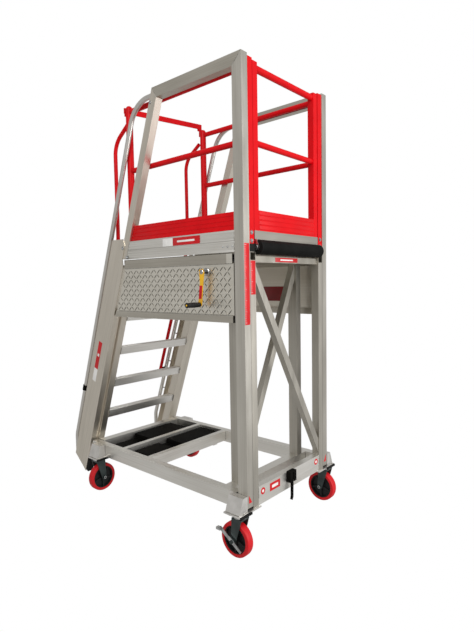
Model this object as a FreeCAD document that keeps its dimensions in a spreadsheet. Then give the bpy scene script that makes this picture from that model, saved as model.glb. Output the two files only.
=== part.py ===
import FreeCAD, Part
import math
import os
import Sketcher

# Wind-up mobile access platform: a castered, ballasted base carries fixed posts, a ladder and a
# top ring; two masts, the deck, its guard rails, the handrails and the outer ladder stiles rise
# together. X points to the front (roller) end, Y to the far side, Z up, millimetres.
# Design coordinates have x = 0 at the masts' front face, y = 0 at the near outer face and z = 0
# at the floor. frame_x and frame_y move them to the origin under the middle of the whole object.

os.makedirs("parts", exist_ok=True)
doc = FreeCAD.newDocument("access_platform")
V = FreeCAD.Vector
ROT = FreeCAD.Rotation

DIMS = {
    "frame_x": 875.5, "frame_y": -402.5, "track": 850.0, "mast_w": 66.0, "mast_d": 50.0, "wall": 3.0,
    "mast_foot": 273.0, "guard_top": 2724.0, "guard_rear": 720.0, "run": 0.364, "inner_y": 52.0,
    "post_w": 48.0, "base_back": 1520.0, "rail_front": 84.0, "rail_low": 257.0, "rail_high": 345.0,
    "ring_low": 1627.0, "ring_high": 1680.0, "panel_low": 1300.0, "panel_split": 1340.0,
    "panel_thick": 3.0, "inner_ring_low": 1640.0, "inner_ring_high": 1688.0, "beam_low": 1692.0,
    "beam_mid": 1748.0, "deck_high": 1805.0, "deck_thick": 8.0, "toe_board": 100.0,
    "step_first": 567.0, "step_pitch": 250.0, "step_drop": 57.0, "stile_front": 1647.0,
    "stile_back": 1724.0, "outer_front": 1664.0, "outer_back": 1841.0, "leg_front": 1648.0,
    "leg_back": 1711.0, "hand_line": 1904.0, "hand_r": 16.0, "grab_r": 13.5, "red_post": 46.0,
    "rail_top": 2672.0, "front_rail_top": 2680.0, "post_top": 2714.0, "rail_mid": 2283.0, "rail_r": 17.0, "rear_post_x": 1050.0,
    "rear_post_top": 2690.0, "wheel_r": 100.0, "tread_w": 46.0, "trail": 25.0, "crank_x": 288.0,
    "crank_z": 1585.0, "crank_throw": 186.0, "pinion_r": 22.0, "shaft_z": 1656.0, "shaft_r": 12.5,
    "sprocket_big": 36.0, "sprocket_small": 18.0, "roller_r": 41.0, "roller_z": 1714.0,
    "roller_x": 6.0, "fit_gap": 0.3, "shaft_gap": 0.06,
}
sheet = doc.addObject("Spreadsheet::Sheet", "Dims")
for row, (alias, number) in enumerate(DIMS.items(), start=1):
    sheet.set("A%d" % row, str(number))
    sheet.setAlias("A%d" % row, alias)
doc.recompute()


class Q:
    """A length that carries both its number and the spreadsheet expression it comes from."""
    def __init__(self, number, text=None):
        self.v = float(number)
        self.t = text if text is not None else "(%r)" % float(number)

    def _do(self, other, sign, number):
        return Q(number, "(%s %s %s)" % (self.t, sign, other.t))

    def __add__(self, o):
        o = q(o); return self._do(o, "+", self.v + o.v)

    def __radd__(self, o):
        return q(o) + self

    def __sub__(self, o):
        o = q(o); return self._do(o, "-", self.v - o.v)

    def __rsub__(self, o):
        return q(o) - self

    def __mul__(self, o):
        o = q(o); return self._do(o, "*", self.v * o.v)

    def __rmul__(self, o):
        return q(o) * self

    def __truediv__(self, o):
        o = q(o); return self._do(o, "/", self.v / o.v)

    def __neg__(self):
        return q(0) - self


def q(value):
    return value if isinstance(value, Q) else Q(value)


class Named:
    def __getattr__(self, name):
        return Q(DIMS[name], "Dims." + name)


D = Named()
AXIS_ROT = {"X": ROT(V(0, 1, 0), 90), "Y": ROT(V(1, 0, 0), -90), "Z": ROT()}
nodes = []
count = [0]
shift = [D.frame_x, D.frame_y]


def fresh(stem):
    count[0] += 1
    return "%s_%03d" % (stem, count[0])


def put(obj, x=0, y=0, z=0, rot=None):
    """Place an object in design coordinates, bound to the sheet."""
    obj.Placement = FreeCAD.Placement(V(0, 0, 0), rot or ROT())
    obj.setExpression("Placement.Base.x", (q(x) + shift[0]).t)
    obj.setExpression("Placement.Base.y", (q(y) + shift[1]).t)
    obj.setExpression("Placement.Base.z", q(z).t)
    return obj


def sketch_on(body, plane, offset=None):
    sk = body.newObject("Sketcher::SketchObject", fresh("Sketch"))
    face = [f for f in body.Origin.OriginFeatures if f.Role == plane + "_Plane"][0]
    sk.AttachmentSupport = [(face, "")]
    sk.MapMode = "FlatFace"
    if offset is not None:
        sk.AttachmentOffset = FreeCAD.Placement(V(0, 0, q(offset).v), ROT())
        sk.setExpression("AttachmentOffset.Base.z", q(offset).t)
    return sk


def polygon(sk, points):
    pts = [(q(a), q(b)) for a, b in points]
    n = len(pts)
    for i in range(n):
        (a, b), (c, d) = pts[i], pts[(i + 1) % n]
        sk.addGeometry(Part.LineSegment(V(a.v, b.v, 0), V(c.v, d.v, 0)), False)
    for i in range(n):
        sk.addConstraint(Sketcher.Constraint("Coincident", i, 2, (i + 1) % n, 1))
    for i, (a, b) in enumerate(pts):
        kx = sk.addConstraint(Sketcher.Constraint("DistanceX", -1, 1, i, 1, a.v))
        ky = sk.addConstraint(Sketcher.Constraint("DistanceY", -1, 1, i, 1, b.v))
        if "Dims" in a.t:
            sk.setExpression("Constraints[%d]" % kx, a.t)
        if "Dims" in b.t:
            sk.setExpression("Constraints[%d]" % ky, b.t)


def circle(sk, a, b, r):
    a, b, r = q(a), q(b), q(r)
    g = sk.addGeometry(Part.Circle(V(a.v, b.v, 0), V(0, 0, 1), r.v), False)
    for kind, k, value in (("DistanceX", 0, a), ("DistanceY", 0, b)):
        c = sk.addConstraint(Sketcher.Constraint(kind, -1, 1, g, 3, value.v))
        if "Dims" in value.t:
            sk.setExpression("Constraints[%d]" % c, value.t)
    c = sk.addConstraint(Sketcher.Constraint("Radius", g, r.v))
    if "Dims" in r.t:
        sk.setExpression("Constraints[%d]" % c, r.t)


def prism(plane, points, low, high, inner=None, wall=None, holes=(), circles=()):
    """Padded outline between low and high along the plane's normal axis. inner is the cavity's
    outline, wall its distance from the two flat sides, holes are round holes right through."""
    low, high = q(low), q(high)
    body = doc.addObject("PartDesign::Body", fresh("Body"))
    sk = sketch_on(body, plane)
    if points:
        polygon(sk, points)
    for c in circles:
        circle(sk, *c)
    pad = body.newObject("PartDesign::Pad", fresh("Pad"))
    pad.Profile = sk
    pad.setExpression("Length", (high - low).t)
    if inner:
        sk = sketch_on(body, plane, q(wall or 0) if wall else None)
        polygon(sk, inner)
        cut = body.newObject("PartDesign::Pocket", fresh("Pocket"))
        cut.Profile = sk
        cut.setExpression("Length", (high - low - q(wall or 0) * 2).t)
        cut.Reversed = True
    for hole in holes:
        sk = sketch_on(body, plane)
        circle(sk, *hole)
        cut = body.newObject("PartDesign::Pocket", fresh("Pocket"))
        cut.Profile = sk
        cut.setExpression("Length", (high - low).t)
        cut.Reversed = True
    # the XZ plane's normal is -Y, so its pad starts from the high side
    if plane == "XZ":
        return put(body, 0, high, 0)
    if plane == "YZ":
        return put(body, low, 0, 0)
    return put(body, 0, 0, low)


def rect(a0, a1, b0, b1):
    return [(a0, b0), (a1, b0), (a1, b1), (a0, b1)]


def inset(a0, a1, b0, b1, w):
    return rect(q(a0) + w, q(a1) - w, q(b0) + w, q(b1) - w)


def tube_y(x0, x1, z0, z1, y0, y1, w=None):
    """Rectangular tube along Y."""
    return prism("XZ", rect(x0, x1, z0, z1), y0, y1, inner=inset(x0, x1, z0, z1, w or D.wall))


def tube_x(y0, y1, z0, z1, x0, x1, w=None):
    return prism("YZ", rect(y0, y1, z0, z1), x0, x1, inner=inset(y0, y1, z0, z1, w or D.wall))


def tube_z(x0, x1, y0, y1, z0, z1, w=None):
    return prism("XY", rect(x0, x1, y0, y1), z0, z1, inner=inset(x0, x1, y0, y1, w or D.wall))


def block(x0, x1, y0, y1, z0, z1):
    box = doc.addObject("Part::Box", fresh("Box"))
    for prop, lo, hi in (("Length", x0, x1), ("Width", y0, y1), ("Height", z0, z1)):
        box.setExpression(prop, (q(hi) - q(lo)).t)
    return put(box, x0, y0, z0)


def rod(axis, r, length, x, y, z):
    cyl = doc.addObject("Part::Cylinder", fresh("Cylinder"))
    cyl.setExpression("Radius", q(r).t)
    cyl.setExpression("Height", q(length).t)
    return put(cyl, x, y, z, AXIS_ROT[axis])


def boolean(kind, first, second):
    op = doc.addObject("Part::" + kind, fresh(kind))
    op.Base, op.Tool = first, second
    return op


def fused(*parts):
    op = doc.addObject("Part::MultiFuse", fresh("Fuse"))
    op.Shapes = list(parts)
    return op


def mirrored(obj):
    """The same piece on the far side."""
    op = doc.addObject("Part::Mirroring", fresh("Mirror"))
    op.Source = obj
    op.Normal = V(0, 1, 0)
    op.Base = V(0, DIMS["track"] / 2 + DIMS["frame_y"], 0)
    op.setExpression("Base.y", (D.track / 2 + D.frame_y).t)
    return op


def both(*parts):
    return list(parts) + [mirrored(p) for p in parts]


def node(name, parts):
    """One named sub-part; several parts become a group of separate solids."""
    parts = parts if isinstance(parts, (list, tuple)) else [parts]
    if len(parts) == 1:
        top = parts[0]
    else:
        top = doc.addObject("Part::Compound", fresh("Group"))
        top.Links = list(parts)
    top.Label = name
    nodes.append((name, top))
    return top


def at_slope(line, z):
    """x at height z on a line parallel to the ladder that meets the floor at x = -line."""
    return q(z) * D.run - line


def bent_tube(points, bends, r_out, r_in):
    """Round tube along straight runs joined by tangent arcs, from sheet numbers."""
    pts = [V(*p) for p in points]
    edges, last = [], pts[0]
    for i in range(1, len(pts) - 1):
        a, b, c = pts[i - 1], pts[i], pts[i + 1]
        u, w = (a - b).normalize(), (c - b).normalize()
        half = u.getAngle(w) / 2.0
        reach = bends[i - 1] / math.tan(half)
        p, s = b + u * reach, b + w * reach
        mid_dir = (u + w).normalize()
        centre = b + mid_dir * (bends[i - 1] / math.sin(half))
        m = centre - mid_dir * bends[i - 1]
        edges.append(Part.LineSegment(last, p).toShape())
        edges.append(Part.Arc(p, m, s).toShape())
        last = s
    edges.append(Part.LineSegment(last, pts[-1]).toShape())
    path = Part.Wire(edges)
    start = (pts[1] - pts[0]).normalize()
    shapes = []
    for r in (r_out, r_in):
        ring = Part.Wire([Part.Circle(pts[0], start, r).toShape()])
        shapes.append(path.makePipeShell([ring], True, False))
    feat = doc.addObject("Part::Feature", fresh("Tube"))
    feat.Shape = shapes[0].cut(shapes[1])
    return put(feat)


MID = D.track / 2
BACK = D.base_back

# ---------------------------------------------------------------- base frame
node("base_side_rails", both(tube_x(0, D.mast_d, D.rail_low, D.rail_high, -BACK, -D.rail_front, 4)))
far_in = D.track - D.mast_d
node("base_cross_members", [
    tube_y(-44, 0, 295, 365, 100, D.track - 100),
    tube_y(-48, -3, D.rail_low, 293, 100, D.track - 100),
    tube_y(-205, -140, D.rail_low, D.rail_high, D.mast_d, far_in),
    tube_y(-930, -890, 268, D.rail_high, D.mast_d, far_in),
    tube_y(-1210, -1170, 268, D.rail_high, D.mast_d, far_in),
    tube_y(-BACK, 65 - BACK, D.rail_low, D.rail_high, D.mast_d, far_in),
    block(65 - BACK, -890, 150, 190, 262, 268), block(65 - BACK, -890, 660, 700, 262, 268)])
node("ballast_slabs", [
    block(-1453, -1212, 54, 796, 268, 292), block(-1440, -1224, 330, 700, 292, 334),
    block(-1168, -932, 54, 796, 268, 292), block(-1150, -950, 110, 330, 292, 318),
    block(-1160, -940, 420, 790, 292, 326)])

# Corner brackets: a thick plate under the frame and a tapered box outside it.
CORNERS = (("nf", -46, 0), ("ff", -46, 1), ("nr", -1411, 0), ("fr", -1411, 1))
SWIVELS = {"nf": (-30, -28), "ff": (-30, 878), "nr": (-1411, -28), "fr": (-1411, 878)}
brackets, pads = [], []
for tag, cx, far in CORNERS:
    lo, hi = (cx - 62, cx + 56)
    plate = block(lo, hi, -80, 112, 249, 257)
    box = prism("YZ", [(-1.5, 257), (-72, 257), (-40, 345), (-1.5, 345)], lo + 6, hi - 8)
    top = block(lo + 8, hi - 8, -72, 16, 244.5, 249)
    strip = block(hi, hi + 9, -76, 20, 243, 256)
    made = [plate, box, top]
    brackets += [mirrored(p) for p in made] if far else made
    pads += [mirrored(strip)] if far else [strip]
node("caster_brackets", brackets)
node("bracket_pads", pads)

# ---------------------------------------------------------------- fixed posts and ladder
post_out = D.inner_y + D.post_w
node("fixed_posts", both(
    tube_z(-52, 0, D.inner_y, post_out, 257, D.inner_ring_low),
    tube_z(-205, -140, post_out, post_out + D.mast_d, D.rail_high, D.inner_ring_high)))


def brace(x0, x1, y0, z0, y1, z1, width):
    """Square tube on the line from (y0, z0) to (y1, z1), cut off at the posts' inner faces."""
    span = math.hypot(y1 - y0, z1 - z0)
    lean = math.degrees(math.atan2(z1 - z0, y1 - y0))
    outer = prism("YZ", rect(-60, span + 60, -width / 2, width / 2), 0, x1 - x0,
                  inner=rect(-61, span + 61, 3 - width / 2, width / 2 - 3), wall=3)
    put(outer, x0, y0, z0, ROT(V(1, 0, 0), lean))
    keep = block(x0 - 5, x1 + 5, min(y0, y1), max(y0, y1), min(z0, z1) - 49, max(z0, z1) + 52)
    return boolean("Common", outer, keep)


node("cross_braces", [brace(-43, -5, 100.5, 1578, 749.5, 428, 44),
                      brace(-192, -152, 150.5, 395, 699.5, 1590, 44)])
foot_z = D.rail_low + 5
node("ladder_stiles", both(prism(
    "XZ", [(at_slope(D.stile_back, foot_z), foot_z), (-BACK, foot_z), (-BACK, D.rail_high),
           (at_slope(D.stile_front, D.inner_ring_low), D.inner_ring_low),
           (at_slope(D.stile_back, D.inner_ring_low), D.inner_ring_low)],
    D.inner_y, post_out,
    inner=[(at_slope(D.stile_back - 4, foot_z - 1), foot_z - 1), (-BACK - 3, foot_z - 1),
           (-BACK - 3, D.rail_high), (at_slope(D.stile_front + 4, D.inner_ring_low + 1),
                                      D.inner_ring_low + 1),
           (at_slope(D.stile_back - 4, D.inner_ring_low + 1), D.inner_ring_low + 1)], wall=3)))
steps = []
for i in range(5):
    zt = D.step_first + D.step_pitch * i
    zb, nose, w = zt - D.step_drop, zt - 34, 4
    back, front = D.stile_back, D.stile_front + 3
    steps.append(prism("XZ", [
        (at_slope(back, zt), zt), (at_slope(front, zt), zt), (at_slope(front, zb), zb),
        (at_slope(front + 18, zb), zb), (at_slope(front + 18, zb + w), zb + w),
        (at_slope(front + w, zb + w), zb + w), (at_slope(front + w, zt - w), zt - w),
        (at_slope(back - w, zt - w), zt - w), (at_slope(back - w, nose), nose),
        (at_slope(back, nose), nose)], post_out, D.track - post_out))
node("ladder_steps", steps)

# ---------------------------------------------------------------- top ring and side panels
rear = D.outer_front - 12
shaft_x = -(D.mast_w + 12 + D.fit_gap + D.pinion_r)
ring_end = shaft_x - D.pinion_r - 4
ring_out = prism("XZ", [(at_slope(rear, D.ring_low), D.ring_low), (ring_end, D.ring_low),
                        (ring_end, D.ring_high), (at_slope(rear, D.ring_high), D.ring_high)],
                 0, D.mast_d, inner=[(at_slope(rear - 3, D.ring_low + 3), D.ring_low + 3),
                                     (ring_end - 3, D.ring_low + 3), (ring_end - 3, D.ring_high - 3),
                                     (at_slope(rear - 3, D.ring_high - 3), D.ring_high - 3)], wall=3)
ring_in = boolean("Cut", tube_x(D.inner_y, post_out, D.inner_ring_low, D.inner_ring_high, -1125, 0),
                  rod("Y", D.shaft_r + 1.2, 80, shaft_x, 40, D.shaft_z))
node("ring_frame", both(ring_out, ring_in) + [
    tube_y(-50, -14, 1632, 1668, post_out, D.track - post_out),
    tube_y(-1040, -990, 1642, 1686, post_out, D.track - post_out)])
panel = [(at_slope(rear, D.panel_split), D.panel_split), (-D.rail_front + 6, D.panel_split),
         (-D.rail_front + 6, D.ring_low), (at_slope(rear, D.ring_low), D.ring_low)]
node("side_panels", [
    prism("XZ", panel, 6, 6 + D.panel_thick, holes=[(-D.crank_x, D.crank_z, 16)]),
    mirrored(prism("XZ", panel, 6, 6 + D.panel_thick))]
    + both(block(ring_end, -D.rail_front, 0, 5, D.ring_low, D.ring_high)))
node("panel_bottom_rails", both(prism(
    "XZ", [(at_slope(rear, D.panel_low), D.panel_low), (-D.rail_front, D.panel_low),
           (-D.rail_front, D.panel_split), (at_slope(rear, D.panel_split), D.panel_split)],
    0, 30, inner=[(at_slope(rear - 3, D.panel_low + 3), D.panel_low + 3),
                  (-D.rail_front - 3, D.panel_low + 3), (-D.rail_front - 3, D.panel_split - 3),
                  (at_slope(rear - 3, D.panel_split - 3), D.panel_split - 3)], wall=3)))
node("stop_buffers", both(block(-52, 0, D.inner_y, post_out, D.inner_ring_high, 1731.4)))

# ---------------------------------------------------------------- lifting gear
bush = boolean("Cut", rod("Y", 20, 8, shaft_x, post_out, D.shaft_z),
               rod("Y", D.shaft_r + D.shaft_gap, 20, shaft_x, post_out - 5, D.shaft_z))
node("drive_bearings", both(bush) + [
    prism("XZ", None, 9, 52, circles=[(-D.crank_x, D.crank_z, 28)],
          holes=[(-D.crank_x, D.crank_z, q(10) + D.shaft_gap)])])
chain_y = 158
node("cross_shaft", fused(
    rod("Y", D.shaft_r, D.track - 24, shaft_x, 12, D.shaft_z),
    rod("Y", D.pinion_r, 26, shaft_x, 13, D.shaft_z),
    rod("Y", D.pinion_r, 26, shaft_x, D.track - 39, D.shaft_z),
    rod("Y", D.sprocket_big, 7, shaft_x, chain_y, D.shaft_z)))
node("crank_shaft", fused(rod("Y", 10, 33 + chain_y + 10, -D.crank_x, -33, D.crank_z),
                          rod("Y", 14, 5, -D.crank_x, -27.2, D.crank_z),
                          rod("Y", D.sprocket_small, 7, -D.crank_x, chain_y, D.crank_z)))


def around(c1, r1, c2, r2):
    """Closed outline around two wheels in the XZ plane: two tangents and two arcs."""
    (x1, z1), (x2, z2) = c1, c2
    span = math.hypot(x2 - x1, z2 - z1)
    lean = math.atan2(z2 - z1, x2 - x1)
    off = math.acos((r1 - r2) / span)
    pt = lambda c, r, a: V(c[0] + r * math.cos(a), 0, c[1] + r * math.sin(a))
    up, dn = lean + off, lean - off
    return Part.Wire([
        Part.LineSegment(pt(c1, r1, up), pt(c2, r2, up)).toShape(),
        Part.Arc(pt(c2, r2, up), pt(c2, r2, lean), pt(c2, r2, dn)).toShape(),
        Part.LineSegment(pt(c2, r2, dn), pt(c1, r1, dn)).toShape(),
        Part.Arc(pt(c1, r1, dn), pt(c1, r1, lean + math.pi), pt(c1, r1, up)).toShape()])


ends = ((-DIMS["crank_x"], DIMS["crank_z"]), (shaft_x.v, DIMS["shaft_z"]))
small, big = DIMS["sprocket_small"] + 0.4, DIMS["sprocket_big"] + 0.4
loop = Part.Face(around(ends[0], small + 3.2, ends[1], big + 3.2)).extrude(V(0, 6, 0)).cut(
    Part.Face(around(ends[0], small, ends[1], big)).extrude(V(0, 6, 0)))
chain = doc.addObject("Part::Feature", "Chain")
chain.Shape = loop
put(chain, 0, chain_y + 0.5, 0)
node("drive_chain", chain)

# Crank: flat arm hanging from the shaft, grip pointing away from the panel.
arm_x, arm_z = -D.crank_x - 16, D.crank_z - D.crank_throw
arm = prism("XZ", [(-D.crank_x - 19, D.crank_z + 12), (-D.crank_x + 8, D.crank_z + 18),
                   (-D.crank_x + 19, D.crank_z - 6), (-D.crank_x + 10, D.crank_z - 60),
                   (arm_x + 12, arm_z - 6), (arm_x - 4, arm_z - 15), (arm_x - 14, arm_z + 2),
                   (-D.crank_x - 14, D.crank_z - 60)], -33.5, -27.5,
            holes=[(-D.crank_x, D.crank_z, 10.05)])
node("crank_arm", fused(arm, rod("Y", 5, 106, arm_x, -139, arm_z)))
grip = fused(rod("Y", 15, 96, arm_x, -132, arm_z), rod("Y", 17, 6, arm_x, -138, arm_z))
node("crank_grip", boolean("Cut", grip, rod("Y", 5.1, 120, arm_x, -145, arm_z)))

# ---------------------------------------------------------------- tow hook on the front beam
bracket = boolean("Cut", block(0, 30, 372, 436, 305, 372), block(6, 34, 396, 412, 290, 362))
node("hook_block", fused(bracket, rod("Y", 4, 40, 19, 384, 345)))
node("hook_lever", boolean("Cut", prism("YZ", [(397.5, 353), (410.5, 353), (410.5, 312), (408, 208),
                                               (398, 190), (391, 194), (397, 212), (397.5, 312)],
                                        12, 26), rod("Y", 4.2, 60, 19, 376, 345)))

# ---------------------------------------------------------------- masts and guard frames
top, under = D.guard_top, D.guard_top - D.mast_w
w3 = D.wall
mast = prism("XZ", [(-D.mast_w, D.mast_foot), (0, D.mast_foot), (0, top), (-D.mast_w, under)],
             0, D.mast_d, inner=[(w3 - D.mast_w, D.mast_foot - 1), (-w3, D.mast_foot - 1),
                                 (-w3, top - w3 - 1), (w3 - D.mast_w, under + w3 - 1)], wall=w3)
node("masts", both(mast))
node("mast_racks", both(block(-D.mast_w - 12, -D.mast_w, 14, 38, D.mast_foot + 4, 1690)))
leg_in_top = at_slope(D.leg_front, under)
rail = prism("XZ", [(-D.guard_rear, top), (0, top), (-D.mast_w, under), (leg_in_top, under)],
             0, D.mast_d, inner=[(w3 * 2 - D.guard_rear, top - w3), (-w3 * 3, top - w3),
                                 (-D.mast_w - 2, under + w3), (leg_in_top + 1, under + w3)], wall=w3)
leg = prism("XZ", [(-D.guard_rear, top), (leg_in_top, under),
                   (at_slope(D.leg_front, D.beam_low), D.beam_low),
                   (at_slope(D.leg_back, D.beam_low), D.beam_low)], 0, D.mast_d,
            inner=[(at_slope(D.leg_back - 3, under + 20), under + 20),
                   (at_slope(D.leg_front + 3, under - 4), under - 4),
                   (at_slope(D.leg_front + 3, D.beam_low - 1), D.beam_low - 1),
                   (at_slope(D.leg_back - 3, D.beam_low - 1), D.beam_low - 1)], wall=w3)
node("guard_rails", both(rail))
node("guard_legs", both(leg))

# Outer stiles: a wide channel beside the ladder, with its foot cut back above the floor.
web = prism("XZ", [(at_slope(D.outer_back, 1825), 1825), (-1056, 1825), (at_slope(D.leg_front + 40, 1780), 1780),
                   (at_slope(D.outer_front + 22, 1690), 1690), (at_slope(D.outer_front, 1650), 1650),
                   (at_slope(D.outer_front, 86), 86), (-1672, 122), (at_slope(D.outer_back, 199), 199)],
            -4, 0)
flange_b = prism("XZ", [(at_slope(D.outer_back, 1800), 1800), (at_slope(D.outer_back - 4, 1800), 1800),
                        (at_slope(D.outer_back - 4, 205), 205), (at_slope(D.outer_back, 205), 205)],
                 0, 46)
flange_f = prism("XZ", [(at_slope(D.outer_front + 4, 1650), 1650), (at_slope(D.outer_front, 1650), 1650),
                        (at_slope(D.outer_front, 96), 96), (at_slope(D.outer_front + 4, 96), 96)],
                 0, 46)
node("outer_stiles", both(fused(web, flange_b, flange_f)))
pad_line = D.outer_front - 26
node("stile_feet", both(prism("XZ", [(at_slope(D.outer_front, 92), 92), (at_slope(pad_line, 84), 84),
                                     (at_slope(pad_line, 176), 176),
                                     (at_slope(D.outer_front, 184), 184)], 1, 44)))

hx = lambda z: DIMS["run"] * z - DIMS["hand_line"]
hand = [(-1780, 27, 218), (-1780, 27, (DIMS["hand_line"] - 1780) / DIMS["run"]), (hx(2690), 27, 2690),
        (-739, 27, 2690)]
tube = bent_tube(hand, [120, 190], DIMS["hand_r"], DIMS["hand_r"] - 2.5)
node("handrails", both(tube))
slope_rot = ROT(V(0, 1, 0), math.degrees(math.atan(DIMS["run"])))
collar = boolean("Cut", put(rod("Z", 21, 40, 0, 0, 0), hx(716), 27, 716, slope_rot),
                 put(rod("Z", D.hand_r + 0.08, 60, 0, 0, 0), hx(706), 27, 706, slope_rot))
arm_z2 = 780
tie = rod("Y", 7, 31.2, at_slope(D.hand_line, arm_z2), 43.1, arm_z2)
node("handrail_collars", both(collar, tie))
stand = [rod("X", 5, D.hand_line - D.outer_back - 21, at_slope(D.hand_line - 19, z), 27, z)
         for z in [D.step_first + 23 + D.step_pitch * i for i in range(5)]]
node("handrail_standoffs", both(*stand))

# ---------------------------------------------------------------- deck
side = []
for lo, hi in ((D.beam_low, D.beam_mid - 1), (D.beam_mid, D.deck_high)):
    side.append(prism("XZ", [(at_slope(D.leg_front, lo) + 1, lo), (-D.mast_w, lo), (-D.mast_w, hi),
                             (at_slope(D.leg_front, hi) + 1, hi)], 0, D.mast_d,
                      inner=[(at_slope(D.leg_front - 3, lo + w3), lo + w3), (-D.mast_w - 3, lo + w3),
                             (-D.mast_w - 3, hi - w3), (at_slope(D.leg_front - 3, hi - w3), hi - w3)],
                      wall=w3))
# the racks run up into the lower beams' front ends
side[0] = boolean("Cut", side[0], block(-D.mast_w - 13, -D.mast_w + 1, 12, 40, 1680, 1692))
node("deck_side_beams", both(*side))
deck_under = D.deck_high - D.deck_thick
node("deck_beams", [
    tube_y(-52, -4, 1757, D.deck_high, post_out + 0.5, D.track - post_out - 0.5),
    tube_y(-600, -550, 1745, deck_under, D.mast_d + 2, far_in - 2),
    tube_y(-1078, -1022, 1745, deck_under, D.mast_d + 2, far_in - 2)])
near, far, notch = D.inner_y, D.track - D.inner_y, post_out
node("deck_plate", prism("XY", [(-1084, notch), (-1024, notch), (-1024, near), (-56, near), (-56, far),
                                (-1024, far), (-1024, D.track - notch), (-1084, D.track - notch)],
                         deck_under, D.deck_high))
board_top = D.deck_high + D.toe_board
g_in = 142.4
side_board = prism(
    "XZ", [(at_slope(D.leg_front, D.deck_high) + 2, D.deck_high), (-D.mast_w, D.deck_high),
           (-D.mast_w, board_top), (at_slope(D.leg_front, board_top) + 2, board_top)], 14, 36,
    inner=[(at_slope(D.leg_front - 3, D.deck_high + w3), D.deck_high + w3),
           (-D.mast_w - 3, D.deck_high + w3), (-D.mast_w - 3, board_top - w3),
           (at_slope(D.leg_front - 3, board_top - w3), board_top - w3)], wall=2.5)
node("toe_boards", both(side_board) + [
    tube_y(-30, -6, D.deck_high, D.deck_high + 112, g_in, D.track - g_in, 2.5)])
node("roller_brackets", both(prism("XZ", [(-40, 1757), (-40, 1735), (-8, 1698), (20, 1698),
                                          (26, 1712), (10, 1757)], 101, 105,
                                   holes=[(D.roller_x, D.roller_z, 6 + D.shaft_gap)])))
node("front_roller", fused(rod("Y", D.roller_r, D.track - 214, D.roller_x, 107, D.roller_z),
                           rod("Y", 6, D.track - 202, D.roller_x, 101, D.roller_z)))

# ---------------------------------------------------------------- red guard rails
pw = D.red_post
node("corner_posts", both(tube_z(-50, -50 + pw, D.inner_y, D.inner_y + 43, 1732, D.post_top, 2.5)))
dome = doc.addObject("Part::Sphere", "Dome")
dome.setExpression("Radius", (pw / 2).t)
put(dome, -D.rear_post_x, 75, D.rear_post_top)
hollow = rod("Z", pw / 2 - 2.5, D.rear_post_top - deck_under, -D.rear_post_x, 75, deck_under - 1)
rear_post = boolean("Cut", fused(rod("Z", pw / 2, D.rear_post_top - deck_under, -D.rear_post_x, 75,
                                     deck_under), dome), hollow)
node("rear_posts", both(rear_post))
rails = []
for z in (D.rail_top, D.rail_mid):
    outer = rod("X", D.rail_r, D.rear_post_x - pw / 2 - 50, -D.rear_post_x + pw / 2, 75, z)
    inner = rod("X", D.rail_r - 2, D.rear_post_x - pw / 2 - 40, -D.rear_post_x + pw / 2 - 5, 75, z)
    rails.append(boolean("Cut", outer, inner))
node("side_rails", both(*rails))
gx = lambda z: DIMS["run"] * z - 1904.0
grab = bent_tube([(-1081, 88, 2606), (gx(1830), 88, 2500), (gx(1830), 88, 1830), (gx(760), 88, 760)],
                 [150, 200], DIMS["grab_r"], DIMS["grab_r"] - 2)
node("grab_rails", both(grab))

# Entry bar across the ladder opening: pivots on the near post, rests in a keeper on the far one.
bar_z, bar_x, tilt = 2688, -D.rear_post_x - pw / 2 - 5, 0.078
rise = lambda y: bar_z + (y - 75) * tilt
bar = boolean("Cut", prism("YZ", [(58, rise(58) - 18), (790, rise(790) - 18), (790, rise(790) + 18),
                                  (58, rise(58) + 18)], bar_x - 8, bar_x),
              rod("X", 6.3, 40, bar_x - 20, 75, bar_z))
node("entry_bar", bar)
keep_z = rise(760) - 18.5
node("rail_brackets", [
    fused(rod("X", 6, 18.5, bar_x - 14, 75, bar_z), rod("X", 11, 4, bar_x - 14, 75, bar_z),
          block(bar_x + 0.4, bar_x + 5, 56, 94, bar_z - 40, bar_z + 14)),
    fused(block(bar_x - 16, bar_x + 5, 758, 790, keep_z - 12, keep_z),
          block(bar_x - 16, bar_x - 10, 758, 790, keep_z - 12, keep_z + 22),
          block(bar_x + 0.4, bar_x + 5, 758, 790, keep_z - 60, keep_z))])

# Front guard: two posts beside the corner posts, a top rail and a middle rail.
g0, g1 = q(100), D.track - 100
node("front_guard", [
    tube_z(-48, -6, g0, g0 + 42, D.deck_high, D.post_top - 8, 2.5),
    tube_z(-48, -6, g1 - 42, g1, D.deck_high, D.post_top - 8, 2.5),
    boolean("Cut", rod("Y", 19, g1 - g0 - 84, -27, g0 + 42, D.front_rail_top),
            rod("Y", 16.5, g1 - g0, -27, g0, D.front_rail_top)),
    boolean("Cut", rod("Y", D.rail_r, g1 - g0 - 84, -27, g0 + 42, D.rail_mid),
            rod("Y", D.rail_r - 2, g1 - g0, -27, g0, D.rail_mid))])

bolts = both(rod("X", 7, 5, -4, 73, 1747), rod("X", 7, 5, -4, 73, 1792),
             rod("Y", 9, 5, -1062, -9, 1764), rod("Y", 9, 5, -738, -5, 2640))
node("frame_bolts", bolts)


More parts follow.
